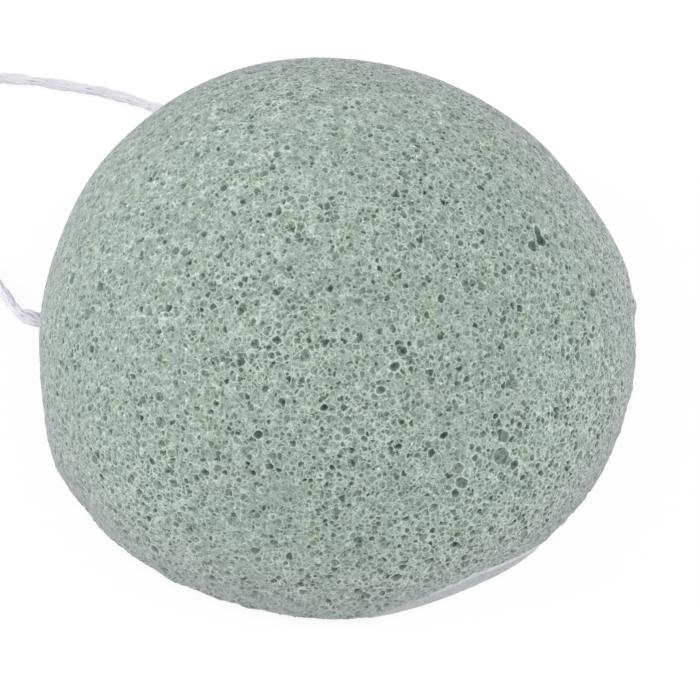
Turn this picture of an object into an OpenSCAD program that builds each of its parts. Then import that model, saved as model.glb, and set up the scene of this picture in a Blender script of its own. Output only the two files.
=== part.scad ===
// Half-ball konjac sponge with a loop of cotton string to hang it by.
// Lengths are in millimetres. The flat base lies on the table at z = 0, the origin is
// the middle of the base, and +Z is up. Bearings are counted from +X towards +Y.
// The string runs through the foam in one curved hole. Outside the foam the loop lies on
// the table and swings up about the line between the two points where it leaves the holes.

/* [Sponge] */
// Radius of the half ball
dome_r = 40; // [32:1:50]
// Height of the upright band between the base and the half ball
band_h = 2.6; // [2:0.2:4.6]
// Radius of the rounded edge round the base
base_edge_r = 1.4; // [0.6:0.2:1.8]

/* [String] */
// Diameter of the cotton string
string_d = 1.4; // [1:0.1:1.5]
// Height of both string holes above the table
hole_z = 5; // [4:0.5:8]
// Bearing of the front hole round the dome, in degrees
front_hole_bearing = 174; // [165:1:180]
// Bearing of the back hole round the dome, in degrees
back_hole_bearing = 118; // [110:1:130]
// How far each mouth of the hole leans towards the other, in degrees
mouth_lean = 15; // [5:1:25]
// How far outside the dome's widest circle each strand of the loop hinges
hinge_reach = 1; // [1:0.1:1.6]
// Diameter of the bulge where the string leaves the foam and bends
bulge_d = 1.8; // [1.8:0.1:2]

/* [Knot] */
// Width of the knot that ties the two ends of the string
knot_d = 5; // [4:0.5:7]
// Height of the knot as it lies on the table
knot_h = 3.2; // [2.6:0.2:3.8]
// How far from the middle of the knot each strand meets it
knot_entry = 4; // [3.6:0.2:5]
// How far from the middle of the knot its collars and free ends part
knot_parting = 1.6; // [1.5:0.1:1.8]
// Length of the longer free end, from the middle of the knot
long_tail_l = 11; // [6:1:16]
// Length of the shorter free end, from the middle of the knot
short_tail_l = 8.5; // [6:0.5:12]

/* [Hidden] */
$fn = 96;

string_sides = 8;
string_r = string_d / 2;
// Gap all round the string in its hole, which the soft foam closes
hole_clearance = 0.05;
// Gap between the bulge of the threaded run and the end of a strand
hinge_clearance = 0.05;
// Gap between the lying string and the table
table_clearance = 0.05;

// The hole is one level arc that ends at both hinge points
hinge_r = dome_r + hinge_reach;
half_bearing = (front_hole_bearing - back_hole_bearing) / 2;
mid_bearing = (front_hole_bearing + back_hole_bearing) / 2;
arc_half_turn = 90 - half_bearing + mouth_lean;
arc_r = hinge_r * sin(half_bearing) / sin(arc_half_turn);
arc_centre_r = hinge_r * cos(half_bearing) + arc_r * cos(arc_half_turn);

// The loop's strands lie on the table at this height
lie_z = string_r + table_clearance;

// The bearing and the slope on which each strand leaves its bulge
front_lead = [154, -10];
back_lead = [131, -18];
// Where the loop's strands pass between their bulges and the knot, as the string lies
front_points = [
    [-42.5, 5.5, 4.5], [-43.3, 6.9, 3.9], [-44.1, 8.6, 3.2], [-45.0, 10.4, 2.5],
    [-45.9, 12.2, 1.8], [-47.0, 14.0, 1.2], [-48.6, 15.7, 0.85], [-51.0, 17.3, 0.75],
    [-53.9, 18.5, 0.75], [-57.2, 19.3, 0.75], [-60.7, 19.8, 0.75], [-64.2, 20.3, 0.75],
    [-67.7, 21.0, 0.75], [-71.2, 22.0, 0.75], [-74.7, 23.4, 0.75], [-78.1, 25.2, 0.75],
    [-81.4, 27.2, 0.75], [-84.6, 29.2, 0.75]
];
back_points = [
    [-20.8, 37.8, 4.3], [-21.9, 39.0, 3.5], [-23.1, 40.2, 2.7], [-24.3, 41.4, 1.9],
    [-25.6, 42.4, 1.25], [-27.0, 43.3, 0.85], [-29.6, 44.4, 0.75], [-33.0, 45.4, 0.75],
    [-36.6, 46.2, 0.75], [-40.2, 46.9, 0.75], [-43.8, 47.5, 0.75], [-47.5, 47.8, 0.75],
    [-51.2, 47.8, 0.75], [-54.9, 47.5, 0.75], [-58.6, 46.9, 0.75], [-62.2, 46.0, 0.75],
    [-65.8, 44.9, 0.75], [-69.3, 43.6, 0.75], [-72.7, 42.1, 0.75], [-76.0, 40.5, 0.75],
    [-79.2, 38.9, 0.75], [-82.0, 37.5, 0.75], [-84.8, 36.2, 0.75]
];
knot_place = [-91, 33.2];
front_entry_bearing = -31;
back_entry_bearing = 27;
long_tail_bearing = 158;
short_tail_bearing = 212;

up = [0, 0, 1];
function along(bearing, slope = 0) =
    [cos(bearing) * cos(slope), sin(bearing) * cos(slope), sin(slope)];
function unit(v) = v / norm(v);

// A strand starts just off its bulge and ends square on the knot's collar
function hinge_point(bearing) = hinge_r * along(bearing) + hole_z * up;
function strand_start(bearing, lead) =
    hinge_point(bearing) + (bulge_d / 2 + hinge_clearance) * along(lead[0], lead[1]);
function strand_end(bearing) =
    [each knot_place, lie_z] + knot_entry * along(bearing);

front_route = concat([strand_start(front_hole_bearing, front_lead)], front_points,
                     [strand_end(front_entry_bearing)]);
back_route = concat([strand_start(back_hole_bearing, back_lead)], back_points,
                    [strand_end(back_entry_bearing)]);

// The direction of a route at its point i, with its first and last directions given
function heading(route, i, first, last) =
    i == 0 ? first :
    i == len(route) - 1 ? last :
    unit(unit(route[i + 1] - route[i]) + unit(route[i] - route[i - 1]));

// The corners of one ring of a tube, square to the direction dir
function ring(centre, dir, r) =
    let (side = unit(cross(dir, up)), top = cross(side, dir))
    [for (k = [0 : string_sides - 1])
        let (turn = (k + 0.5) * 360 / string_sides)
        centre + r * (cos(turn) * side + sin(turn) * top)];

// A tube along a route, as one closed solid
module tube(route, first, last, r) {
    rings = [for (i = [0 : len(route) - 1]) ring(route[i], heading(route, i, first, last), r)];
    points = [for (one = rings) each one];
    n = string_sides;
    walls = [for (i = [0 : len(route) - 2], k = [0 : n - 1])
        [i * n + k, i * n + (k + 1) % n, (i + 1) * n + (k + 1) % n, (i + 1) * n + k]];
    near_end = [for (k = [n - 1 : -1 : 0]) k];
    far_end = [for (k = [0 : n - 1]) (len(route) - 1) * n + k];
    polyhedron(points, concat([near_end], walls, [far_end]));
}

// A round rod that lies level, from the distance r_from to r_to on one bearing
module radial_rod(bearing, r_from, r_to, r) {
    rotate([0, 0, bearing])
        translate([r_from, 0, 0])
            rotate([0, 90, 0])
                cylinder(r = r, h = r_to - r_from);
}

// The string's way through the foam, level, from one hinge point to the other
module threaded_way(r) {
    rotate([0, 0, mid_bearing])
        translate([arc_centre_r, 0, hole_z])
            rotate([0, 0, 180 - arc_half_turn])
                rotate_extrude(angle = 2 * arc_half_turn)
                    translate([arc_r, 0])
                        circle(r = r);
}

// Outline of the foam from its axis out: base, rounded edge, band and quarter circle
module sponge_outline() {
    translate([0, band_h])
        intersection() {
            circle(r = dome_r);
            square(dome_r);
        }
    square([dome_r - base_edge_r, band_h]);
    translate([0, base_edge_r])
        square([dome_r, band_h - base_edge_r]);
    translate([dome_r - base_edge_r, base_edge_r])
        circle(r = base_edge_r);
}

module sponge_body() {
    color([0.66, 0.74, 0.69])
        difference() {
            rotate_extrude()
                sponge_outline();
            threaded_way(string_r + hole_clearance);
        }
}

module threaded_string() {
    color([0.89, 0.87, 0.92]) {
        threaded_way(string_r);
        for (bearing = [front_hole_bearing, back_hole_bearing])
            translate(hinge_point(bearing))
                sphere(d = bulge_d);
    }
}

module string_front_strand() {
    color([0.89, 0.87, 0.92])
        tube(front_route, along(front_lead[0], front_lead[1]), -along(front_entry_bearing),
             string_r);
}

module string_back_strand() {
    color([0.89, 0.87, 0.92])
        tube(back_route, along(back_lead[0], back_lead[1]), -along(back_entry_bearing),
             string_r);
}

// The knot lies flat, takes both strands in collars and lets the two free ends out
module string_knot() {
    color([0.89, 0.87, 0.92])
        translate([each knot_place, 0]) {
            rotate_extrude() {
                square([knot_d / 2 - knot_h / 2, knot_h]);
                translate([knot_d / 2 - knot_h / 2, knot_h / 2])
                    intersection() {
                        circle(d = knot_h);
                        translate([0, -knot_h / 2])
                            square(knot_h);
                    }
            }
            translate([0, 0, lie_z]) {
                radial_rod(front_entry_bearing, knot_parting, knot_entry, string_r);
                radial_rod(back_entry_bearing, knot_parting, knot_entry, string_r);
                radial_rod(long_tail_bearing, knot_parting, long_tail_l, string_r);
                radial_rod(short_tail_bearing, knot_parting, short_tail_l, string_r);
            }
        }
}

sponge_body();
threaded_string();
string_front_strand();
string_back_strand();
string_knot();
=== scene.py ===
"""Half-ball konjac sponge with its cotton string loop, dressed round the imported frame.

Lengths are in metres. The flat base lies on the floor at z = 0, the origin is the middle of
the base, +Z is up, and bearings are counted from +X towards +Y.
"""
import math

import bpy
import numpy as np
from bpy.props import FloatProperty, IntProperty, PointerProperty
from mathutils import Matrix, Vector


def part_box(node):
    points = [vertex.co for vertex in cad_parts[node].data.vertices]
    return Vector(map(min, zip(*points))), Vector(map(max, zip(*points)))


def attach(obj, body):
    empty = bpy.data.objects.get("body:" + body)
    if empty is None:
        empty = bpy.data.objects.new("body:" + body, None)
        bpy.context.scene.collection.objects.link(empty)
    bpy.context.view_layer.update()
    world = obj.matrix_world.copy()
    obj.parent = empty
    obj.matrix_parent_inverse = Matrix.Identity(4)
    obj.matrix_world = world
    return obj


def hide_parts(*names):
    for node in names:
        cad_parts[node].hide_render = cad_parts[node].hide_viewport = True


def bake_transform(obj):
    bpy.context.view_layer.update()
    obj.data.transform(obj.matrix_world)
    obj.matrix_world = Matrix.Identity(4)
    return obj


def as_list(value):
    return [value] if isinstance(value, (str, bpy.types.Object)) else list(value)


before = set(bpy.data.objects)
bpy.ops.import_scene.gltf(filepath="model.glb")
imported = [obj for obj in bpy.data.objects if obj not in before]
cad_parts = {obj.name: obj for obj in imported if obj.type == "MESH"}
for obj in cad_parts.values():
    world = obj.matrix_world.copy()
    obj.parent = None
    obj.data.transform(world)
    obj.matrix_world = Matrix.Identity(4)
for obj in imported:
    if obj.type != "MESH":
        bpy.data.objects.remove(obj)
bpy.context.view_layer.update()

bl_info = {
    "name": "Konjac sponge",
    "version": (1, 0, 0),
    "blender": (4, 5, 0),
    "location": "View3D > Sidebar > Sponge",
    "description": "Builds a half-ball konjac sponge with a cotton string loop",
    "category": "Add Mesh",
}

MM = 0.001
SPONGE_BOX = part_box("sponge_body")
DOME_RADIUS = (SPONGE_BOX[1][0] - SPONGE_BOX[0][0]) / 2
DOME_BASE = SPONGE_BOX[1][2] - DOME_RADIUS

# The string's way outside the foam, in millimetres, from each hole to the knot: the same
# points as in the part's source
FRONT_WAY = (
    (-41.616, 4.696, 4.835), (-42.5, 5.5, 4.5), (-43.3, 6.9, 3.9), (-44.1, 8.6, 3.2),
    (-45.0, 10.4, 2.5), (-45.9, 12.2, 1.8), (-47.0, 14.0, 1.2), (-48.6, 15.7, 0.85),
    (-51.0, 17.3, 0.75), (-53.9, 18.5, 0.75), (-57.2, 19.3, 0.75), (-60.7, 19.8, 0.75),
    (-64.2, 20.3, 0.75), (-67.7, 21.0, 0.75), (-71.2, 22.0, 0.75), (-74.7, 23.4, 0.75),
    (-78.1, 25.2, 0.75), (-81.4, 27.2, 0.75), (-84.6, 29.2, 0.75), (-87.571, 31.140, 0.75),
)
BACK_WAY = (
    (-19.841, 36.883, 4.706), (-20.8, 37.8, 4.3), (-21.9, 39.0, 3.5), (-23.1, 40.2, 2.7),
    (-24.3, 41.4, 1.9), (-25.6, 42.4, 1.25), (-27.0, 43.3, 0.85), (-29.6, 44.4, 0.75),
    (-33.0, 45.4, 0.75), (-36.6, 46.2, 0.75), (-40.2, 46.9, 0.75), (-43.8, 47.5, 0.75),
    (-47.5, 47.8, 0.75), (-51.2, 47.8, 0.75), (-54.9, 47.5, 0.75), (-58.6, 46.9, 0.75),
    (-62.2, 46.0, 0.75), (-65.8, 44.9, 0.75), (-69.3, 43.6, 0.75), (-72.7, 42.1, 0.75),
    (-76.0, 40.5, 0.75), (-79.2, 38.9, 0.75), (-82.0, 37.5, 0.75), (-84.8, 36.2, 0.75),
    (-87.436, 35.016, 0.75),
)
# The hole is one level arc between the two points where the loop hinges
HOLE_HEIGHT = 5.0
HOLE_BEARING = math.radians(146)
HOLE_CENTRE = 40.645
HOLE_RADIUS = 19.755
HOLE_HALF_TURN = math.radians(77)
# The middle of the knot, and the height of the string's middle where it lies on the floor
KNOT_PLACE = (-91.0, 33.2, 1.55)
LYING = 0.75
UP = np.array((0.0, 0.0, 1.0))

# The photograph's view: the camera looks along +Y and down
VIEW_ELEVATION = math.radians(56.64)
VIEW_DISTANCE = 0.6
VIEW_AIM = Vector((0.00231, -0.00661, 0.01365))
# The way from the aim back to the camera
VIEW_BACK = Vector((0, -math.cos(VIEW_ELEVATION), math.sin(VIEW_ELEVATION)))
FRAME_PIXELS = 700
PIXELS_PER_METRE = 7580
SENSOR_WIDTH = 36
FLOOR_SIZE = 6


def paint(red, green, blue):
    """A colour as it is seen, 0 to 255 a channel, as the linear numbers that nodes take."""
    seen = [part / 255 for part in (red, green, blue)]
    return tuple(
        part / 12.92 if part <= 0.04045 else ((part + 0.055) / 1.055) ** 2.4 for part in seen)


def seen_on_dome(x, y):
    """The point of the half ball that the photograph shows at its pixel x, y."""
    right = Vector((1, 0, 0))
    up = VIEW_BACK.cross(right)
    half, scale = FRAME_PIXELS / 2, PIXELS_PER_METRE * VIEW_DISTANCE
    ray = ((x - half) / scale * right - (y - half) / scale * up - VIEW_BACK).normalized()
    start = VIEW_AIM + VIEW_DISTANCE * VIEW_BACK - Vector((0, 0, DOME_BASE))
    along = start.dot(ray)
    reach = along * along - start.length_squared + DOME_RADIUS ** 2
    if reach < 0:
        raise ValueError(f"pixel {x}, {y} is beside the half ball")
    return start + ray * (-along - math.sqrt(reach)) + Vector((0, 0, DOME_BASE))


# The half ball isn't quite round. Each row is a number of waves round it, and their cosine
# and sine as parts of its radius
WAVES = ((2, 0.005, -0.002), (3, 0.0125, 0.0017), (4, -0.0002, 0.0043))
# Lumps and dents on the outline: bearing in degrees, then height, how wide and how far out
# in millimetres
LUMPS = (
    (6.2, 7.8, 1.2, 0.65), (12, 10, 5.0, 0.50), (29, 17, 6.0, -0.40), (66, 25, 8.0, 0.25),
    (149, 18, 7.0, 0.30), (-174, 3, 6.0, -0.42), (-154, 1.5, 5.0, 0.55), (-133, 1, 8.0, 0.25),
    (-86, 1, 9.0, 0.50), (-52, 1.5, 6.0, 0.35), (-11.5, 1.5, 2.2, -0.40), (-21, 1, 4.0, -0.20),
    (174, 5, 1.4, -0.30), (118, 5, 1.5, -0.50),
)


def uneven(points):
    """Points on an even half ball, in metres, moved onto the uneven one."""
    bearing = np.arctan2(points[:, 1], points[:, 0])
    factor = 1 + sum(c * np.cos(n * bearing) + s * np.sin(n * bearing) for n, c, s in WAVES)
    points = points * np.c_[factor, factor, np.ones_like(factor)]
    for lump_bearing, lump_height, wide, far in LUMPS:
        height = lump_height * MM
        rise = max(height - DOME_BASE, 0)
        out = math.sqrt(DOME_RADIUS ** 2 - rise ** 2)
        centre = turned(math.radians(lump_bearing), out, 0, height)
        away = np.linalg.norm(points - centre, axis=1) / (wide * MM)
        points[:, :2] *= 1 + (far * MM / DOME_RADIUS * np.exp(-away ** 2))[:, None]
    return points


class FoamSettings(bpy.types.PropertyGroup):
    """Depth of the foam's pores, and its sheen."""

    pore_depth: FloatProperty(
        name="Pore depth", description="Depth of the pores, as a part of their natural depth",
        default=1.0, min=0.0, max=3.0)
    sheen: FloatProperty(
        name="Sheen", description="How strongly the foam's fine edges catch light from the side",
        default=0.38, min=0.0, max=1.0)


class StringSettings(bpy.types.PropertyGroup):
    """Sizes and loose fibres of the cotton string."""

    diameter: FloatProperty(
        name="Diameter", description="Thickness of the string where it lies free",
        default=0.0014, min=0.0008, max=0.002, unit="LENGTH")
    twist: FloatProperty(
        name="Twist", description="Length in which the two plies turn once round each other",
        default=0.016, min=0.004, max=0.05, unit="LENGTH")
    flare: FloatProperty(
        name="Flare", description="How much wider the string is where it comes out of the foam",
        default=0.5, min=0, max=1)
    hairs: IntProperty(
        name="Hairs", description="Stray hairs on every 10 mm of the string",
        default=22, min=0, max=100)
    tuft: IntProperty(
        name="Tuft", description="Loose fibres round each mouth of the string's hole",
        default=70, min=0, max=200)


class StageSettings(bpy.types.PropertyGroup):
    """Floor and light."""

    ambient: FloatProperty(
        name="Ambient light", description="Strength of the even light from all round",
        default=0.775, min=0, max=5)
    left_lamp: FloatProperty(
        name="Left softbox", description="Strength of the large lamp on the left, in watts",
        default=2.4, min=0, max=1000)
    right_lamp: FloatProperty(
        name="Right softbox", description="Strength of the large lamp on the right, in watts",
        default=1.3, min=0, max=1000)


def by_node(operation, flipped=False):
    """A method of Wire that joins it and another value in one Math node."""
    def method(self, other):
        first, second = (other, self) if flipped else (self, other)
        return self.maths(operation, first, second)
    return method


class Wire:
    """One output socket. Python's operators on it add Math nodes to its board."""

    __add__ = by_node("ADD")
    __radd__ = by_node("ADD", flipped=True)
    __sub__ = by_node("SUBTRACT")
    __rsub__ = by_node("SUBTRACT", flipped=True)
    __mul__ = by_node("MULTIPLY")
    __rmul__ = by_node("MULTIPLY", flipped=True)
    __truediv__ = by_node("DIVIDE")
    __pow__ = by_node("POWER")
    __gt__ = by_node("GREATER_THAN")
    __lt__ = by_node("LESS_THAN")
    at_least = by_node("MAXIMUM")
    at_most = by_node("MINIMUM")

    def __init__(self, board, socket):
        self.board = board
        self.socket = socket

    def maths(self, operation, first, second=0.0):
        return self.board.add("ShaderNodeMath", {"operation": operation}, {0: first, 1: second})

    def __neg__(self):
        return self.maths("MULTIPLY", self, -1.0)

    def __abs__(self):
        return self.maths("ABSOLUTE", self)

    def ramp(self, low, high):
        """0 at low and beyond it, 1 at high and beyond it, and eased between them."""
        return self.board.add(
            "ShaderNodeMapRange", {"interpolation_type": "SMOOTHSTEP"},
            {"Value": self, "From Min": low, "From Max": high})


class Board:
    """A node tree, of a material or of geometry, that takes its nodes from one method."""

    def __init__(self, tree):
        self.tree = tree
        tree.nodes.clear()

    def keep(self, name, value):
        """A material keeps nothing and works its values out anew."""
        return value

    def add(self, kind, settings=None, values=None, output=0):
        """Adds a node: its settings first, then a value or a wire for each named input."""
        node = self.tree.nodes.new(kind)
        for name, value in (settings or {}).items():
            if name == "stops":
                self.set_stops(node.color_ramp, value)
            else:
                setattr(node, name, value)
        for name, value in (values or {}).items():
            socket = self.socket_of(node.inputs, name)
            if isinstance(value, Wire):
                self.tree.links.new(value.socket, socket)
            else:
                socket.default_value = value
        if output is None:
            return node
        return Wire(self, self.socket_of(node.outputs, output)) if len(node.outputs) else node

    @staticmethod
    def socket_of(sockets, name):
        """A socket by number, or the enabled one of that name."""
        if isinstance(name, int):
            return sockets[name]
        return next(socket for socket in sockets if socket.name == name and socket.enabled)

    @staticmethod
    def set_stops(ramp, stops):
        """Puts a ramp's stops, each a place and a colour."""
        while len(ramp.elements) < len(stops):
            ramp.elements.new(1.0)
        for element, (place, colour) in zip(ramp.elements, stops):
            element.position = place
            element.color = (*colour, 1)

    def outputs(self, node, *names):
        return [Wire(self, self.socket_of(node.outputs, name)) for name in names]

    def vector(self, operation, first, second, output=0):
        return self.add(
            "ShaderNodeVectorMath", {"operation": operation}, {0: first, 1: second}, output)

    def scaled(self, vector, factor):
        return self.add(
            "ShaderNodeVectorMath", {"operation": "SCALE"}, {"Vector": vector, "Scale": factor})

    def parts(self, vector):
        return self.outputs(
            self.add("ShaderNodeSeparateXYZ", values={0: vector}, output=None), "X", "Y", "Z")

    def mix(self, first, second, share, blend="MIX"):
        """Two colours mixed, with more of the second as share rises."""
        node = self.add(
            "ShaderNodeMix", {"data_type": "RGBA", "blend_type": blend, "clamp_factor": True},
            {"Factor": share}, output=None)
        for name, value in (("A", first), ("B", second)):
            socket = next(s for s in node.inputs if s.name == name and s.type == "RGBA")
            if isinstance(value, Wire):
                self.tree.links.new(value.socket, socket)
            else:
                socket.default_value = (*value[:3], 1)
        return Wire(self, next(s for s in node.outputs if s.type == "RGBA"))

    def attribute(self, name, output="Fac"):
        """What a mesh's attribute says, in a material."""
        return self.add("ShaderNodeAttribute", {"attribute_name": name}, output=output)

    def noise(self, place, scale, detail=2.0, roughness=0.5, output=0):
        return self.add(
            "ShaderNodeTexNoise", {"noise_dimensions": "3D"},
            {"Vector": place, "Scale": scale, "Detail": detail, "Roughness": roughness}, output)

    def cells(self, place, feature="F1"):
        """The scattered points that are nearest to a place, one unit apart on the whole."""
        return self.add(
            "ShaderNodeTexVoronoi", {"voronoi_dimensions": "3D", "feature": feature},
            {"Vector": place, "Scale": 1.0, "Randomness": 1.0}, output=None)


def deselect():
    bpy.ops.object.select_all(action="DESELECT")


def activate(thing):
    deselect()
    thing.select_set(True)
    bpy.context.view_layer.objects.active = thing


def points_of(mesh):
    """The places of a mesh's points, as an array."""
    found = np.empty(len(mesh.vertices) * 3, np.float32)
    mesh.vertices.foreach_get("co", found)
    return found.reshape(-1, 3)


def finish_material(board, surface):
    board.add("ShaderNodeOutputMaterial", values={"Surface": surface})


def new_material(name):
    material = bpy.data.materials.new(name)
    material.use_nodes = True
    return material, Board(material.node_tree)


class Stage(bpy.types.Operator):
    """Camera at the photograph's angle, pale floor, soft light."""

    bl_idname = "konjac.stage"
    bl_label = "Stage"

    def execute(self, context):
        settings = context.scene.konjac_stage
        self.camera(context)
        self.floor()
        self.light(context, settings)
        context.scene.view_settings.view_transform = "Standard"
        return {"FINISHED"}

    def camera(self, context):
        deselect()
        bpy.ops.object.camera_add(
            location=VIEW_AIM + VIEW_DISTANCE * VIEW_BACK,
            rotation=(math.pi / 2 - VIEW_ELEVATION, 0, 0))
        camera = context.object
        camera.name = "camera"
        camera.data.sensor_width = SENSOR_WIDTH
        camera.data.lens = SENSOR_WIDTH * PIXELS_PER_METRE * VIEW_DISTANCE / FRAME_PIXELS
        camera.data.clip_start = 0.01
        camera.data.clip_end = 50
        context.scene.camera = camera

    def floor(self):
        deselect()
        bpy.ops.mesh.primitive_plane_add(size=FLOOR_SIZE, location=(0, 0, 0))
        floor = bpy.context.object
        floor.name = "floor"
        material, board = new_material("floor_white")
        matt = board.add("ShaderNodeBsdfDiffuse", values={"Color": (0.92, 0.92, 0.92, 1)})
        white = board.add(
            "ShaderNodeEmission", values={"Color": (1, 1, 1, 1), "Strength": 1.04})
        path = board.add("ShaderNodeLightPath", output=None)
        camera_ray, glossy_ray = board.outputs(path, "Is Camera Ray", "Is Glossy Ray")
        share = camera_ray.at_least(glossy_ray) * 0.85
        finish_material(
            board, board.add("ShaderNodeMixShader", values={0: share, 1: matt, 2: white}))
        floor.data.materials.append(material)

    def light(self, context, settings):
        world = bpy.data.worlds.new("soft_room")
        context.scene.world = world
        world.use_nodes = True
        board = Board(world.node_tree)
        path = board.add("ShaderNodeLightPath", output=None)
        camera_ray, glossy_ray = board.outputs(path, "Is Camera Ray", "Is Glossy Ray")
        seen = camera_ray.at_least(glossy_ray)
        # The even light is a little stronger from the right and weaker from behind
        x, y = board.parts(board.add("ShaderNodeTexCoord", output="Generated"))[:2]
        slope = 1 + 0.05 * x - 0.15 * y.at_least(0)
        strength = seen + (1 - seen) * slope * settings.ambient
        sky = board.add(
            "ShaderNodeBackground", values={"Color": (1, 1, 1, 1), "Strength": strength})
        board.add("ShaderNodeOutputWorld", values={"Surface": sky})
        for name, place, power in (
                ("softbox_left", (-0.804, 0.085, 0.412), settings.left_lamp),
                ("softbox_right", (0.708, 0.05, 0.554), settings.right_lamp)):
            deselect()
            bpy.ops.object.light_add(type="AREA", location=place)
            lamp = context.object
            lamp.name = name
            lamp.data.shape = "DISK"
            lamp.data.size = 0.5
            lamp.data.energy = power
            lamp.rotation_euler = (-Vector(place)).to_track_quat("-Z", "Y").to_euler()


def turned(bearing, out, aside, height):
    """The point that is so far out on a bearing, so far aside of it and so high."""
    c, s = math.cos(bearing), math.sin(bearing)
    return (out * c - aside * s, out * s + aside * c, height)


def smooth_way(points, step):
    """A smooth curve through the points, as points that are a step apart."""
    points = np.asarray(points, float)
    points = np.r_[[2 * points[0] - points[1]], points, [2 * points[-1] - points[-2]]]
    knots = np.r_[0, np.cumsum(np.linalg.norm(np.diff(points, axis=0), axis=1) ** 0.5)]
    curve = []
    for i in range(1, len(points) - 2):
        t = np.linspace(knots[i], knots[i + 1], 12, endpoint=False)[:, None]

        def between(first, last, a, b):
            low, high = knots[a], knots[b]
            return (high - t) / (high - low) * first + (t - low) / (high - low) * last

        near = [between(points[j], points[j + 1], j, j + 1) for j in (i - 1, i, i + 1)]
        wide = [between(near[0], near[1], i - 1, i + 1), between(near[1], near[2], i, i + 2)]
        curve.append(between(wide[0], wide[1], i, i + 1))
    curve = np.vstack([*curve, points[-2]])
    gone = np.r_[0, np.cumsum(np.linalg.norm(np.diff(curve, axis=0), axis=1))]
    even = np.linspace(0, gone[-1], int(gone[-1] / step) + 1)
    return np.c_[[np.interp(even, gone, curve[:, k]) for k in range(3)]].T


def unit(vectors):
    return vectors / np.linalg.norm(vectors, axis=-1, keepdims=True)


def frame_of(line):
    """Two directions square to a line at each of its points: level, and up."""
    ahead = unit(np.gradient(line, axis=0))
    side = unit(np.cross(ahead, UP))
    return side, np.cross(side, ahead)


def eased(value, low, high):
    t = np.clip((value - low) / (high - low), 0, 1)
    return t * t * (3 - 2 * t)


class Tubes:
    """Many thin closed tubes that make one mesh."""

    def __init__(self):
        self.corners, self.faces, self.lays, self.count = [], [], [], 0

    def add(self, line, radius, sides, start, number):
        """A tube round a line. start is how far along the string it begins."""
        side, top = frame_of(line)
        turn = np.arange(sides) * 2 * math.pi / sides
        reach = np.cos(turn)[:, None] * side[:, None] + np.sin(turn)[:, None] * top[:, None]
        rings = line[:, None] + np.broadcast_to(radius, len(line))[:, None, None] * reach
        at = self.count + np.arange(len(line) * sides).reshape(-1, sides)
        after = np.roll(at, -1, axis=1)
        walls = np.stack([at[:-1], at[1:], after[1:], after[:-1]], -1)
        self.faces += walls.reshape(-1, 4).tolist()
        self.faces += [at[0].tolist(), at[-1][::-1].tolist()]
        gone = start + np.r_[0, np.cumsum(np.linalg.norm(np.diff(line, axis=0), axis=1))]
        lay = np.zeros((len(line), sides, 3))
        lay[..., 0], lay[..., 1], lay[..., 2] = gone[:, None] * MM, number, turn / (2 * math.pi)
        self.lays.append(lay.reshape(-1, 3))
        self.corners.append(rings.reshape(-1, 3))
        self.count += at.size

    def to_object(self, name, material):
        mesh = bpy.data.meshes.new(name)
        mesh.from_pydata((np.vstack(self.corners) * MM).tolist(), [], self.faces)
        mesh.attributes.new("lay", "FLOAT_VECTOR", "POINT").data.foreach_set(
            "vector", np.vstack(self.lays).astype(np.float32).ravel())
        mesh.materials.append(material)
        piece = bpy.data.objects.new(name, mesh)
        bpy.context.collection.objects.link(piece)
        activate(piece)
        bpy.ops.object.shade_smooth()
        return piece


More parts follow.
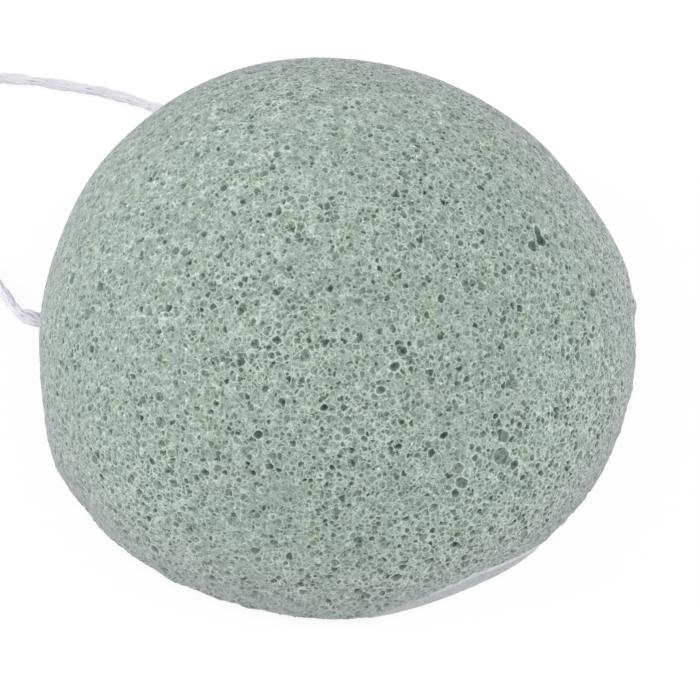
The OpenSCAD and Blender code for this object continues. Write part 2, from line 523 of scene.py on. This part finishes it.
class CottonString(bpy.types.Operator):
    """The one cotton string: two loose strands, the run in the foam, and the knot."""

    bl_idname = "konjac.string"
    bl_label = "Cotton string"

    # Lengths are in millimetres where no other unit is named
    STEP = 0.3
    # Length of each cord, in metres, and how far into the foam it is followed
    FRONT_LENGTH = 0.060
    BACK_LENGTH = 0.078
    INSIDE = 3.0
    # How far inwards of each hinge the foam begins, along the string
    MOUTH = 1.0
    # How far from the middle of the foam the string passes from the foam's body to the loop's
    BLEND = (35.6, 40.5)
    # Length of each free end, from the middle of the knot, and of its fraying
    FRONT_TAIL = 11.0
    BACK_TAIL = 8.5
    FRAYED = 3.0
    # The diameter, in metres, for which the yarns' sizes are given
    PLAIN_DIAMETER = 0.0014
    # Yarns of one ply: how many lie how far from its middle, and how thick they are
    PLY_YARNS = ((12, 0.330, 0.180), (5, 0.160, 0.170))
    PLY_OFFSET = 0.15
    # The doubled string's way through the knot: size, height of its humps, and half the gap
    KNOT_SIZE = 0.60
    KNOT_HUMP = 0.62
    KNOT_PAIR = 0.34

    def execute(self, context):
        self.settings = context.scene.konjac_string
        self.random = np.random.default_rng(5)
        self.plan()
        self.lay_yarns()
        material = cotton_material()
        front, inner, back = (
            self.piece(name, low, high, material)
            for name, low, high in (
                ("front_string", self.front_collar, self.front_inner),
                ("inner_string", self.front_inner, self.back_inner),
                ("back_string", self.back_inner, self.back_collar)))
        self.declare(front, inner, back, self.knot(material))
        return {"FINISHED"}

    def plan(self):
        """Lays the string's middle line from one free end, through the foam, to the other."""
        hole = [
            turned(HOLE_BEARING, HOLE_CENTRE + HOLE_RADIUS * math.cos(t),
                   HOLE_RADIUS * math.sin(t), HOLE_HEIGHT)
            for t in np.linspace(math.pi - HOLE_HALF_TURN, math.pi + HOLE_HALF_TURN, 40)]
        front_knot = self.knot_way(-1, math.radians(158), self.FRONT_TAIL)
        back_knot = self.knot_way(1, math.radians(212), self.BACK_TAIL)
        route = [*front_knot[::-1], *FRONT_WAY[::-1], *hole, *BACK_WAY, *back_knot]
        self.line = smooth_way(route, self.STEP)
        self.gone = np.arange(len(self.line)) * self.STEP
        self.front_hinge, self.back_hinge = hole[0], hole[-1]
        self.front_collar = self.nearest(FRONT_WAY[-1])
        self.back_collar = self.nearest(BACK_WAY[-1])
        steps_inside = int(self.INSIDE / self.STEP)
        self.front_inner = self.nearest(hole[0]) + steps_inside
        self.back_inner = self.nearest(hole[-1]) - steps_inside
        self.front_mouth = self.nearest(hole[0]) + round(self.MOUTH / self.STEP)
        self.back_mouth = self.nearest(hole[-1]) - round(self.MOUTH / self.STEP)
        self.side, self.top = frame_of(self.line)

    def nearest(self, point):
        return int(np.linalg.norm(self.line - np.array(point), axis=1).argmin())

    def knot_way(self, which, tail_bearing, tail):
        """One of the two cords from the knot's collar through an overhand knot to its free end."""
        turn = np.linspace(3 * math.pi, math.pi + 0.15, 26)
        size = self.KNOT_SIZE
        way = np.c_[
            size * (np.sin(turn) + 2 * np.sin(2 * turn)),
            size * (np.cos(turn) - 2 * np.cos(2 * turn)) + 0.35,
            -self.KNOT_HUMP * np.sin(3 * turn)]
        way[0] = (0.9, way[0][1], -0.55)
        way[-1] = (-0.3, way[-1][1] + 0.35, 0.75)
        side, top = frame_of(way)
        way = way + which * self.KNOT_PAIR * (0.9 * side + 0.45 * top)
        c, s = math.cos(tail_bearing), math.sin(tail_bearing)
        drop = LYING - KNOT_PLACE[2]
        reaches = (0.45 * tail, 0.6 * tail, 0.75 * tail, 0.88 * tail, tail)
        out = [(c * reach, s * reach, drop) for reach in reaches]
        return [tuple(np.add(KNOT_PLACE, point)) for point in [*way, *out]]

    def spread(self):
        """How far apart the yarns are at each step: they open at the foam and where the string
        bends down to the floor, close up in the knot and fray at the free ends."""
        gone, total = self.gone, self.gone[-1]
        front, back = (gone[self.nearest(hinge)] for hinge in (self.front_hinge, self.back_hinge))
        spread = np.full_like(gone, 1.12)
        for middle, wide, part in (
                (front + 0.3, 2.4, 1.3), (back - 0.3, 2.2, 0.7), (back + 6.0, 3.6, 0.5)):
            spread += self.settings.flare * part * np.exp(-((gone - middle) / wide) ** 2)
        for low, high in ((0, gone[self.front_collar]), (gone[self.back_collar], total)):
            knot = eased(gone, low - 1.0, low + 1.0) * (1 - eased(gone, high - 1.0, high + 1.0))
            spread -= 0.14 * knot
        spread += 0.55 * (1 - eased(np.minimum(gone, total - gone), 0, self.FRAYED))
        return spread * (1 + 0.06 * np.sin(gone * 1.3 + 1) + 0.05 * np.sin(gone * 0.47))

    def lay_yarns(self):
        """Lays every yarn of both plies round the middle line."""
        gone, spread = self.gone, self.spread()
        thickness = self.settings.diameter / self.PLAIN_DIAMETER
        lying = 1 - eased(self.line[:, 2], 0.8, 2.5)
        across, upward = 1 + 0.15 * lying, 1 - 0.08 * lying
        twist = 2 * math.pi * gone / (self.settings.twist / MM)
        self.yarns = []
        for ply in range(2):
            ply_turn = twist + math.pi * ply + 0.35 * np.sin(gone * 0.61 + ply)
            for count, out, radius in self.PLY_YARNS:
                for k in range(count):
                    a, b, c, d = self.random.uniform(0, 2 * math.pi, 4)
                    turn = 2 * math.pi * k / count - 0.7 * twist + 0.25 * np.sin(gone * 0.8 + a)
                    far = out * (1 + 0.12 * np.sin(gone * 1.7 + b))
                    u = self.PLY_OFFSET * np.cos(ply_turn) + far * np.cos(turn)
                    v = self.PLY_OFFSET * np.sin(ply_turn) + far * np.sin(turn)
                    u = (u + 0.03 * np.sin(gone * 2.9 + c)) * spread * thickness
                    v = (v + 0.03 * np.sin(gone * 2.3 + d)) * spread * thickness
                    line = self.line + (u * across)[:, None] * self.side
                    line += (v * upward)[:, None] * self.top
                    cut = self.random.uniform(0, 1.4, 2) / self.STEP
                    fat = radius * thickness * (0.85 + 0.15 * spread)
                    fat *= 1 + 0.1 * np.sin(gone * 3.7 + d)
                    self.yarns.append((line, fat, int(cut[0]), int(cut[1])))

    def piece(self, name, low, high, material):
        """The stretch of the string between two of its points, as one mesh."""
        tubes = Tubes()
        self.fill(tubes, low, high)
        for mouth in (self.front_mouth, self.back_mouth):
            if low < mouth < high:
                self.add_tuft(tubes, mouth)
        return tubes.to_object(name, material)

    def add_tuft(self, tubes, mouth):
        """Loose fibres that spread over the foam round the mouth of a hole."""
        centre = self.line[mouth]
        level = (0, 0, DOME_BASE / MM)
        away = unit(centre - level)
        side = unit(np.cross(away, UP))
        top = np.cross(side, away)
        for number in range(self.settings.tuft):
            turn, start, curl = self.random.uniform((0, 0.2, -1.5), (2 * math.pi, 1.0, 1.5))
            length = self.random.uniform(0.5, 1.1) ** 2 * 1.3
            share = np.linspace(0, 1, 9)
            bend = turn + curl * share ** 1.5
            reach = (start + length * share)[:, None]
            flat = reach * (np.cos(bend)[:, None] * side + np.sin(bend)[:, None] * top)
            ball = unit(centre + flat - level) * DOME_RADIUS / MM + level
            lift = self.random.uniform(0.0, 0.5) * (1 - share) + 0.15 * np.sin(5 * share + turn)
            fibre = uneven(ball * MM) / MM + lift[:, None] * away
            tubes.add(fibre, 0.035 - 0.022 * share, 4, self.gone[mouth], 90 + number)

    def fill(self, tubes, low, high):
        last = len(self.line) - 1
        for number, (line, fat, cut_first, cut_last) in enumerate(self.yarns):
            first, end = max(low, cut_first), min(high, last - cut_last)
            radius = fat[first:end + 1].copy()
            if first > low:
                radius[:4] *= (0.35, 0.6, 0.8, 0.95)
            if end < high:
                radius[-4:] *= (0.95, 0.8, 0.6, 0.35)
            tubes.add(line[first:end + 1], radius, 6, self.gone[first], number)
        self.add_hairs(tubes, low, high)

    def add_hairs(self, tubes, low, high):
        """Stray hairs that leave a yarn, bow out and come back towards the string."""
        count = int((high - low) * self.STEP / 10 * self.settings.hairs)
        for number in range(count):
            line = self.yarns[self.random.integers(len(self.yarns))][0]
            start = self.random.integers(low, high - 8)
            steps = self.random.integers(5, 12)
            stretch = line[start:min(start + steps, high)]
            if len(stretch) < 5:
                continue
            away = unit(stretch - self.line[start:start + len(stretch)])
            share = np.linspace(0, 1, len(stretch))
            lift = self.random.uniform(0.15, 0.55) * np.sin(math.pi * 0.8 * share)
            wave = self.random.uniform(-0.15, 0.15, 3) * share[:, None] ** 2
            hair = stretch + away * lift[:, None] + wave
            hair[:, 2] = np.maximum(hair[:, 2], 0.04)
            tubes.add(hair, 0.016 * (1 - 0.6 * share), 3, self.gone[start], 40 + number)

    def knot(self, material):
        tubes = Tubes()
        self.fill(tubes, 0, self.front_collar)
        self.fill(tubes, self.back_collar, len(self.line) - 1)
        return tubes.to_object("tied_knot", material)

    def declare(self, front, inner, back, knot):
        """Bakes the front and back stretches in place, hides the solids that the string's pieces
        stand in for, and hangs the run in the foam and the knot on their bodies.
        """
        level = (math.cos(HOLE_BEARING), math.sin(HOLE_BEARING))
        start, end = (
            (level[0] * out * MM, level[1] * out * MM, HOLE_HEIGHT * MM) for out in self.BLEND)
        for piece, low, high, hinge, length, node, others in (
                (front, self.front_collar, self.front_inner, self.front_hinge,
                 self.FRONT_LENGTH, "string_front_strand", [knot]),
                (back, self.back_inner, self.back_collar, self.back_hinge,
                 self.BACK_LENGTH, "string_back_strand", [inner])):
            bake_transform(piece)
            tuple(start)
            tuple(end)
            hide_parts(node)
            way = self.line[low:high + 1:2] * MM
            [c * MM for c in hinge]
            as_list(others)
        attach(inner, "sponge")
        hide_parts("threaded_string")
        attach(knot, "string_loop")
        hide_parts("string_knot")


def cotton_material():
    material, board = new_material("cotton_string")
    gone, number, around = board.parts(board.attribute("lay", "Vector"))
    stretched = board.add(
        "ShaderNodeCombineXYZ", values={"X": gone * 700, "Y": number * 3.7, "Z": around * 5})
    streak = board.noise(stretched, 1.0, 3.0)
    slow = board.noise(board.add(
        "ShaderNodeCombineXYZ", values={"X": gone * 110, "Y": number * 0.6, "Z": 0.0}), 1.0, 1.0)
    share = (streak * 0.6 + slow * 0.4).ramp(0.35, 0.65)
    colour = board.mix(paint(234, 232, 240), paint(244, 242, 248), share)
    bump = board.add(
        "ShaderNodeBump", values={"Strength": 0.5, "Distance": 0.00004, "Height": streak})
    skin = board.add(
        "ShaderNodeBsdfPrincipled",
        values={"Base Color": colour, "Roughness": 0.82 + 0.12 * streak, "Normal": bump,
                "Specular IOR Level": 0.2})
    finish_material(board, skin)
    return material


class Foam(bpy.types.Operator):
    """The half ball of open-cell foam, with its pores sunk into the mesh."""

    bl_idname = "konjac.foam"
    bl_label = "Foam half ball"

    # Radius of the rounded edge round the base
    BASE_EDGE = 0.0014

    def execute(self, context):
        settings = context.scene.konjac_foam
        body = self.smooth_body(context)
        self.sink_pores(body, settings)
        body.data.materials.append(foam_material(settings))
        activate(body)
        bpy.ops.object.shade_smooth()
        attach(body, "sponge")
        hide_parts("sponge_body")
        return {"FINISHED"}

    def outline(self):
        """The foam's outline from the crown out and down to the middle of the base."""
        turn = np.linspace(0, math.pi / 2, 400)
        dome = np.c_[DOME_RADIUS * np.sin(turn), DOME_BASE + DOME_RADIUS * np.cos(turn)]
        corner = self.BASE_EDGE
        edge = np.c_[
            DOME_RADIUS - corner + corner * np.cos(turn), corner - corner * np.sin(turn)]
        base = np.c_[np.linspace(DOME_RADIUS - corner, 0, 200)[1:], np.zeros(199)]
        return np.r_[dome, edge, base]

    def smooth_body(self, context):
        """A ball of even triangles, laid over the half ball so that they stay even."""
        deselect()
        bpy.ops.mesh.primitive_ico_sphere_add(subdivisions=9, radius=1)
        body = context.object
        body.name = "foam_half_ball"
        ball = points_of(body.data).astype(float)
        outline = self.outline()
        step = np.diff(outline, axis=0)
        ring = np.abs(outline[1:, 0] + outline[:-1, 0]) / 2 * np.hypot(*step.T)
        covered = np.r_[0, np.cumsum(ring)]
        place = (1 - np.clip(ball[:, 2], -1, 1)) / 2 * covered[-1]
        out = np.interp(place, covered, outline[:, 0])
        height = np.interp(place, covered, outline[:, 1])
        bearing = np.arctan2(ball[:, 1], ball[:, 0])
        points = uneven(np.c_[out * np.cos(bearing), out * np.sin(bearing), height])
        body.data.vertices.foreach_set("co", points.astype(np.float32).ravel())
        body.data.update()
        return body

    def sink_pores(self, body, settings):
        modifier = body.modifiers.new("pores", "NODES")
        modifier.node_group = self.pore_tree(settings)
        graph = bpy.context.evaluated_depsgraph_get()
        pored = bpy.data.meshes.new_from_object(
            body.evaluated_get(graph), preserve_all_data_layers=True, depsgraph=graph)
        body.modifiers.clear()
        body.data = pored
        # The base stays flat on the floor
        points = points_of(pored)
        points[:, 2] = np.maximum(points[:, 2], 0)
        pored.vertices.foreach_set("co", points.ravel())
        pored.update()

    def pore_tree(self, settings):
        """The geometry nodes that move each point of the smooth body into its pore."""
        tree = bpy.data.node_groups.new("pores", "GeometryNodeTree")
        tree.interface.new_socket("Geometry", in_out="INPUT", socket_type="NodeSocketGeometry")
        tree.interface.new_socket("Geometry", in_out="OUTPUT", socket_type="NodeSocketGeometry")
        board = GeometryBoard(tree)
        place = board.add("GeometryNodeInputPosition")
        board.shape = board.add(
            "GeometryNodeStoreNamedAttribute", {"data_type": "FLOAT_VECTOR", "domain": "POINT"},
            {"Geometry": board.shape, "Name": "rest", "Value": place})
        depth = 0.0
        # The tiny pores are too small for the mesh, and only the material shows them
        for pore, inside, deep, _ in open_bubbles(board, place, PORES[1:]):
            opened = inside.ramp(-0.02, 0.08 + 0.22 * pore["spacing"])
            own = part_way(pore["depth"], deep ** pore["rarity"])
            depth = opened * (own * MM) + depth * (1 - 0.6 * opened)
            depth = board.keep("depth_" + pore["name"], depth)
        # Each marked pore clears its place of other pores and is sunk as deep as it says
        most, shade = -9.0, 0.0
        for inside, painted_shade, deep in marked_pores(board, place):
            opened = inside.ramp(-0.05, 0.40)
            depth = depth * (1 - 0.9 * inside.ramp(-0.1, 0.1)) + opened * (deep * MM)
            shade = shade + (painted_shade - shade) * (inside > most)
            most = inside.at_least(most)
        # The mesh keeps where each marked pore is and its painted shade, for the material
        board.store("mark", most)
        board.store("mark_shade", shade)
        # The skin between the pores is rough, and the lower edge is ragged but for the lip
        depth = depth + (board.noise(place, 1500.0, 2.0) - 0.5) * 0.00022
        low = board.parts(place)[2].ramp(0.011, 0.003)
        depth = depth + (board.noise(place, 420.0, 3.0) - 0.5) * low * 0.0008
        skin, _ = lip(board, place)
        depth = depth * (1 - 0.85 * skin) - 0.00012 * skin
        normal = board.add("GeometryNodeInputNormal")
        board.shape = board.add(
            "GeometryNodeSetPosition",
            values={"Geometry": board.shape,
                    "Offset": board.scaled(normal, -depth * settings.pore_depth)})
        for name in board.scratch:
            board.shape = board.add(
                "GeometryNodeRemoveAttribute", values={"Geometry": board.shape, "Name": name})
        board.add("NodeGroupOutput", values={"Geometry": board.shape})
        return tree


class GeometryBoard(Board):
    """A geometry tree that can keep a value as an attribute, so that it is worked out once."""

    def __init__(self, tree):
        super().__init__(tree)
        self.shape = self.add("NodeGroupInput")
        self.scratch = []

    def store(self, name, value):
        self.shape = self.add(
            "GeometryNodeStoreNamedAttribute", {"data_type": "FLOAT", "domain": "POINT"},
            {"Geometry": self.shape, "Name": name, "Value": value})

    def keep(self, name, value):
        self.scratch.append(name)
        self.store(name, value)
        return self.add(
            "GeometryNodeInputNamedAttribute", {"data_type": "FLOAT"}, {"Name": name}, "Attribute")


def pore_kind(name, spacing, radii, shares, depth, painted_shade, rarity, holds, rim_highlight, soft, shift, wall):
    """One size of pore. Lengths are in millimetres.

    spacing is how far apart the bubbles are, radii their least and most as parts of it, and
    shares how many are open where the foam is fine and where it is coarse. depth and the
    painted shade inside are the least and the most, and a higher rarity makes the most rarer.
    holds is how much finer detail shows inside, rim the painted highlight on the rim: how pale
    it is, how far out and how wide, soft how wide the slope inside the rim is, shift where the
    pattern starts, and wall how thick the wall between two bubbles is.
    """
    return dict(
        name=name, spacing=spacing, radii=radii, shares=shares, depth=depth, painted_shade=painted_shade,
        rarity=rarity, holds=holds, rim_highlight=rim_highlight, soft=soft, shift=shift, wall=wall)


PORES = (
    pore_kind("tiny", 0.40, (0.30, 0.65), (0.90, 0.90), (0, 0), (0.03, 0.30), 1.2, 0.6,
              (0.60, 0.03, 0.08), 0.07, (5.9, 1.7, 2.2), 0.02),
    pore_kind("fine", 0.66, (0.36, 0.72), (0.60, 0.95), (0.05, 0.20), (0.07, 0.38), 1.3, 0.5,
              (0.95, 0.03, 0.09), 0.12, (0.7, 4.1, 9.9), 0.03),
    pore_kind("small", 0.98, (0.36, 0.68), (0.20, 0.95), (0.08, 0.36), (0.08, 0.44), 1.8, 0.6,
              (1.00, 0.04, 0.10), 0.14, (8.3, 6.1, 4.4), 0.035),
    pore_kind("middle", 1.50, (0.26, 0.52), (0.04, 0.56), (0.12, 0.55), (0.08, 0.42), 2.2, 0.7,
              (1.00, 0.05, 0.11), 0.16, (11.3, 2.9, 5.1), 0.04),
    pore_kind("large", 2.40, (0.20, 0.40), (0.01, 0.22), (0.16, 0.60), (0.10, 0.40), 2.2, 0.7,
              (1.00, 0.05, 0.11), 0.18, (3.1, 7.7, 1.3), 0.04),
)

# The pores that stand out in the photograph: where each is seen in it, half its length and
# half its width in pixels, the turn of its long axis, how dark its painted shade is and how
# deep it is, in millimetres
MARKS = (
    (537, 234, 10.5, 3.3, 68, 0.36, 0.5), (540.5, 241, 7.5, 4.1, 68, 0.36, 0.6),
    (531.5, 246.5, 6.5, 4.4, 60, 0.30, 0.5),
    (445, 436, 5.8, 4.0, -32, 0.44, 0.7), (497, 417, 3.4, 3.2, 90, 0.42, 0.5),
    (490, 451, 2.4, 2.2, 0, 0.52, 0.5), (477, 459, 5.0, 3.2, 85, 0.36, 0.5),
    (503, 457, 9.0, 8.0, -50, 0.20, 0.35), (505, 437, 6.5, 5.5, 50, 0.24, 0.35),
    (516, 466, 5.8, 4.6, -70, 0.30, 0.6), (463, 484, 7.0, 6.0, 30, 0.24, 0.4),
    (306, 356, 6.2, 6.0, 0, 0.10, 0.25), (277, 340, 5.2, 4.4, 40, 0.34, 0.5),
    (324, 408, 4.6, 3.6, -20, 0.42, 0.6), (395, 367, 6.5, 5.0, -25, 0.30, 0.6),
    (381, 390, 5.6, 4.4, 0, 0.22, 0.5), (258, 435, 4.6, 4.4, 0, 0.34, 0.6),
)


def part_way(limits, share):
    """What lies so far from the first limit to the second."""
    return limits[0] + (limits[1] - limits[0]) * share


def open_bubbles(board, place, pores):
    """For each size of pore: how far inside an open bubble a point is, in millimetres and
    below 0 outside, the bubble's own number, and how far the point lies to the side where its
    painted shade is darker.

    The bubbles are round, lie about scattered points in space, and the surface cuts them
    open. What bends them makes them oval.
    """
    bent = bent_place(board, place)
    coarse = board.keep("coarse", coarseness(board, place))
    for pore in pores:
        spacing = pore["spacing"]
        spots = board.vector("ADD", board.scaled(bent, 1 / spacing), pore["shift"])
        near, colour, centre = board.outputs(board.cells(spots), "Distance", "Color", "Position")
        size, drawn, deep = board.parts(colour)
        inside = part_way(pore["radii"], size) - near
        second = board.cells(spots, "F2")
        next_near, next_centre = board.outputs(second, "Distance", "Position")
        apart = board.vector("DISTANCE", centre, next_centre, "Value")
        border = (next_near * next_near - near * near) / (2 * apart)
        inside = inside.at_most((border - pore["wall"]) * 1.2)
        inside = inside - (drawn > part_way(pore["shares"], coarse)) * 10
        lean = board.vector(
            "DOT_PRODUCT", board.vector("SUBTRACT", spots, centre),
            board.vector("SUBTRACT", colour, (0.5, 0.5, 0.5)), "Value")
        yield (pore, board.keep(pore["name"] + "_in", inside * spacing),
               board.keep(pore["name"] + "_deep", deep), lean)


def bent_place(board, place):
    """The place in millimetres, bent so that round pores come out oval."""
    wobble = board.noise(place, 950.0, 1.0, output="Color")
    bend = board.scaled(board.vector("SUBTRACT", wobble, (0.5, 0.5, 0.5)), 0.62)
    return board.vector("ADD", board.scaled(place, 1 / MM), bend)


def marked_pores(board, place):
    """For each pore of MARKS, how far inside it a point is, in millimetres, and its record."""
    bent = bent_place(board, place)
    for mark in MARKS:
        x, y, half_length, half_width, turn, painted_shade, deep = mark
        turn = math.radians(turn)
        centre = seen_on_dome(x, y)
        long = (seen_on_dome(x + math.cos(turn), y + math.sin(turn)) - centre) / MM
        wide = (seen_on_dome(x - math.sin(turn), y + math.cos(turn)) - centre) / MM
        length, width = half_length * long.length, half_width * wide.length
        off = board.vector("SUBTRACT", bent, tuple(centre / MM))
        along = board.vector("DOT_PRODUCT", off, tuple(long.normalized()), "Value")
        square = board.vector("DOT_PRODUCT", off, off, "Value")
        squeeze = 1 - (width / length) ** 2
        yield width - (square - along * along * squeeze).at_least(0) ** 0.5, painted_shade, deep


def coarseness(board, place):
    """0 where the pores are fine, at the back left, to 1 where they are coarse."""
    side = board.vector("DOT_PRODUCT", place, (0.50, -0.55, 0.0), "Value") / 0.04
    return (side * 0.45 + board.noise(place, 55.0, 2.0) * 1.6 - 0.26).at_least(0).at_most(1)


def foam_material(settings):
    material, board = new_material("konjac_foam")
    place = board.attribute("rest", "Vector")
    height = board.parts(place)[2]
    coarse = coarseness(board, place)
    cloud = board.noise(place, 800.0, 3.0, 0.9)
    light = cell_light(board, place, coarse)
    light = marked_light(board, light)
    light = painted_glint_light(board, place, coarse, light)
    light = light + (cloud - 0.5) * (0.58 - 0.20 * coarse)
    light = regional_light(board, place, light)
    skin, line = lip(board, place)
    smooth = BASE + 0.10 + (cloud - 0.5) * 0.20 + 0.07 * height.ramp(0.0016, 0.0004)
    smooth = smooth + (light - BASE) * 0.12
    light = light + (smooth - light) * skin
    # A painted highlight runs along the lip's upper edge
    light = light + (PAINTED_HIGHLIGHT + 0.05 - light) * line
    grain = board.noise(place, 2600.0, 3.0)
    bump = board.add(
        "ShaderNodeBump", values={"Strength": 0.5, "Distance": 0.00008, "Height": grain})
    foam = board.add(
        "ShaderNodeBsdfPrincipled",
        values={"Base Color": foam_colour(board, place, light, skin),
                "Roughness": 0.85 + 0.2 * (grain - 0.5),
                "Normal": bump, "Specular IOR Level": 0.2, "Sheen Weight": settings.sheen,
                "Sheen Roughness": 0.45, "Sheen Tint": (0.70, 0.54, 0.78, 1)})
    finish_material(board, foam)
    return material


def cell_light(board, place, coarse):
    """How light the foam is with its own cells: painted shade inside them and a painted highlight
    on their rims.
    """
    light = BASE
    for pore, inside, deep, lean in open_bubbles(board, place, PORES):
        spacing, (strength, out, width) = pore["spacing"], pore["rim_highlight"]
        opened = inside.ramp(-0.02, pore["soft"]) * (0.55 + 0.45 * coarse)
        bottom = inside.ramp(0.0, 0.35 * spacing)
        # Painted shade inside the pore, darker towards its bottom and on its deeper side
        painted_shade = part_way(pore["painted_shade"], deep ** pore["rarity"])
        painted_shade = painted_shade * (0.55 + 0.45 * bottom) * (1 + 2.2 * lean).at_least(0.5).at_most(1.5)
        own = (light - BASE) * pore["holds"] + BASE * (1 - painted_shade)
        light = light + (own - light) * opened
        # A painted highlight on the rim of each pore
        rim_highlight = (1 - abs(inside + out) / width).at_least(0) * strength
        rim_highlight = rim_highlight * (0.35 + 0.65 * deep.maths("FRACT", deep * 7.3)) * (0.4 + 0.6 * coarse)
        light = light + (PAINTED_HIGHLIGHT - light) * rim_highlight
    return light


def marked_light(board, light):
    """Adds the marked pores, whose places the mesh keeps as attributes: painted shade inside each
    and a painted highlight round its rim.
    """
    inside, painted_shade = board.attribute("mark"), board.attribute("mark_shade")
    # Painted shade inside each marked pore
    own = (light - BASE) * 0.45 + BASE * (1 - painted_shade * (0.75 + 0.25 * inside.ramp(0.0, 0.45)))
    light = light + (own - light) * inside.ramp(-0.02, 0.12)
    # A painted highlight round the rim of each marked pore
    return light + (PAINTED_HIGHLIGHT - light) * (1 - abs(inside + 0.07) / 0.12).at_least(0) * 0.8


def painted_glint_light(board, place, coarse, light):
    """Adds painted glints as small white specks, more of them where the foam is fine."""
    spots = board.vector("ADD", board.scaled(bent_place(board, place), 1 / 0.9), (4.4, 8.1, 0.6))
    near, colour = board.outputs(board.cells(spots), "Distance", "Color")
    size, drawn = board.parts(colour)[:2]
    glint_speck = ((0.06 + 0.15 * size) - near).ramp(-0.03, 0.05)
    glint_speck = glint_speck * (drawn < (0.28 - 0.12 * coarse))
    # Each speck is a painted glint
    return light + (0.97 - light) * glint_speck * 0.85


def regional_light(board, place, light):
    """Adds painted glints in pale blotches over the upper left, darkens the back a little with
    painted shade and makes it rougher, and calms the lower edge."""
    x, y, height = board.parts(place)
    behind = y.ramp(0.010, 0.030)
    # The pale blotches over the upper left are painted glints
    painted_glints = board.noise(place, 620.0, 3.0, 0.75).ramp(0.50, 0.68)
    upper_left = (14 * y - 16 * x).ramp(-0.25, 0.25) * height.ramp(0.020, 0.036) * (1 - behind)
    light = light + 0.13 * painted_glints * upper_left
    contrast = 1 - 0.45 * height.ramp(0.008, 0.002) + 0.25 * behind
    middle = BASE + 0.02
    # The back is made a little darker by painted shade
    return middle + (light - middle) * contrast - 0.035 * behind


def foam_colour(board, place, light, skin):
    """The foam's colour for how light it is: yellower in spots, greyer lilac in other spots and
    on the lip, and a painted lilac sheen low down and at the right behind."""
    x, y, height = board.parts(place)
    tones = board.add("ShaderNodeValToRGB", {"stops": TONES}, {"Fac": light}, "Color")
    tint = board.noise(place, 230.0, 2.0, 0.6)
    olive = tint.ramp(0.60, 0.76) * 0.8
    low, right_behind = height.ramp(0.016, 0.003), (20 * x + 15 * y).ramp(0.50, 0.85)
    # Greyer lilac in spots and on the lip is the foam's own colour; low down and at the right
    # behind it is a painted sheen
    grey_and_painted_sheen = (0.35 * tint.ramp(0.42, 0.26)).at_least(0.55 * low).at_least(skin)
    grey_and_painted_sheen = grey_and_painted_sheen.at_least(right_behind * tint.ramp(0.60, 0.40) * 0.5)
    colour = board.mix(tones, board.mix(tones, OLIVE, 1.0, "MULTIPLY"), olive)
    return board.mix(colour, board.mix(tones, LILAC, 1.0, "MULTIPLY"), grey_and_painted_sheen)


def lip(board, place):
    """The smooth skin that laps up over the foam's lower edge on the front right: how much of
    it a point is on, and how near its upper edge, where a painted highlight runs along it."""
    x, y, height = board.parts(place)
    bearing = board.add("ShaderNodeMath", {"operation": "ARCTAN2"}, {0: y, 1: x})
    middle = abs(bearing + math.radians(65)) / math.radians(19)
    waver = (board.noise(place, 180.0, 2.0) - 0.5) * 0.0010
    waver = waver + (board.noise(place, 900.0, 2.0) - 0.5) * 0.0006
    top = 0.0033 * (1 - middle * middle).at_least(0) ** 0.5 + waver
    inner = (top - height) / MM
    on = 1 - middle.ramp(0.85, 1.0)
    line = (1 - abs(inner + 0.02) / 0.30).at_least(0) * on * bearing.ramp(-1.32, -1.16)
    return inner.ramp(-0.12, 0.16) * on, line * board.noise(place, 420.0, 2.0).ramp(0.30, 0.52)


# How light the foam is between its pores, and with the painted highlight on their rims, as a place
# among the tones
BASE = 0.645
PAINTED_HIGHLIGHT = 0.845
# The foam's colours, from the painted shade at the bottom of the deepest pores to the painted
# highlight on the palest rims
TONES = (
    (0.20, paint(40, 58, 48)),
    (0.43, paint(96, 116, 102)),
    (0.66, paint(161, 177, 166)),
    (0.83, paint(208, 223, 212)),
    (0.95, paint(236, 244, 238)),
)
# What the foam's colour is multiplied by where it turns yellower, or greyer lilac, partly as a
# painted sheen
OLIVE = (1.02, 1.03, 0.86)
LILAC = (1.08, 0.96, 1.09)


class SpongePanel(bpy.types.Panel):
    """Lists the pieces of the sponge and their settings."""

    bl_label = "Konjac sponge"
    bl_idname = "VIEW3D_PT_konjac_sponge"
    bl_space_type = "VIEW_3D"
    bl_region_type = "UI"
    bl_category = "Sponge"

    def draw(self, context):
        for operator in OPERATORS:
            self.layout.operator(operator.bl_idname)
        for name, group in SETTINGS:
            box = self.layout.box()
            for field in group.__annotations__:
                box.prop(getattr(context.scene, name), field)


OPERATORS = (Stage, CottonString, Foam)
SETTINGS = (
    ("konjac_foam", FoamSettings),
    ("konjac_string", StringSettings),
    ("konjac_stage", StageSettings),
)


def register():
    for name, group in SETTINGS:
        bpy.utils.register_class(group)
        setattr(bpy.types.Scene, name, PointerProperty(type=group))
    for operator in OPERATORS:
        bpy.utils.register_class(operator)
    bpy.utils.register_class(SpongePanel)


def unregister():
    bpy.utils.unregister_class(SpongePanel)
    for operator in reversed(OPERATORS):
        bpy.utils.unregister_class(operator)
    for name, group in reversed(SETTINGS):
        delattr(bpy.types.Scene, name)
        bpy.utils.unregister_class(group)


def main():
    register()
    bpy.ops.konjac.stage()
    bpy.ops.konjac.string()
    bpy.ops.konjac.foam()


if __name__ == "__main__":
    main()
